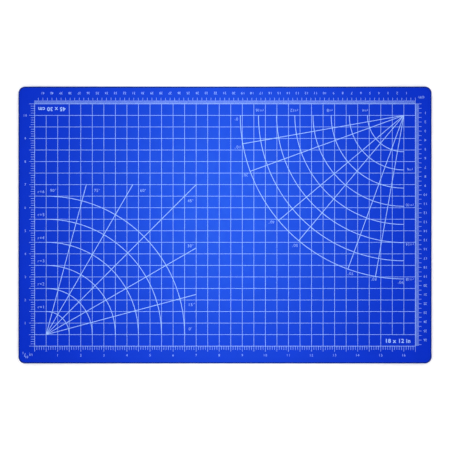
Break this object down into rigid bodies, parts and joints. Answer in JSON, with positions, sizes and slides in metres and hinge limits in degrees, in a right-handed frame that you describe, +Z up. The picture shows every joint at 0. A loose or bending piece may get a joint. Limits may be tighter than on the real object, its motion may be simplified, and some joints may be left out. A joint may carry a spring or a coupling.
{
  "type": "self healing cutting mat",
  "caption": "Flat rectangular cutting mat with rounded corners, bonded soft and stiff plies, and a printed face with a grid, edge rulers, angle rays and radius arcs.",
  "frame": {"origin": "middle of the flat bottom face", "axes": "+X along the long side, +Y along the short side away from the inch ruler's edge, +Z up out of the printed face"},
  "size_m": [0.455, 0.305, 0.003],
  "materials": {
    "skin": "blue soft PVC with a fine pebbled matte grain",
    "healing_ply": "blue soft PVC, a little darker, seen only at the cut edge",
    "core": "off-white hard plastic sheet, seen only at the cut edge",
    "ink": "pale periwinkle screen-printed ink, slightly raised and matte"
  },
  "bodies": {
    "root": {"bottom_skin": "skin", "lower_healing_ply": "healing_ply", "core_sheet": "core", "upper_healing_ply": "healing_ply", "top_skin": "skin", "half_inch_grid": "ink", "bottom_inch_ruler": "ink", "left_inch_ruler": "ink", "top_centimetre_ruler": "ink", "right_centimetre_ruler": "ink", "inch_angle_rays": "ink", "inch_radius_arcs": "ink", "centimetre_angle_rays": "ink", "centimetre_radius_arcs": "ink", "bottom_inch_numerals": "ink", "left_inch_numerals": "ink", "top_centimetre_numerals": "ink", "right_centimetre_numerals": "ink", "inch_chart_figures": "ink", "centimetre_chart_figures": "ink", "unit_marks": "ink", "size_marks": "ink"}
  },
  "joints": []
}
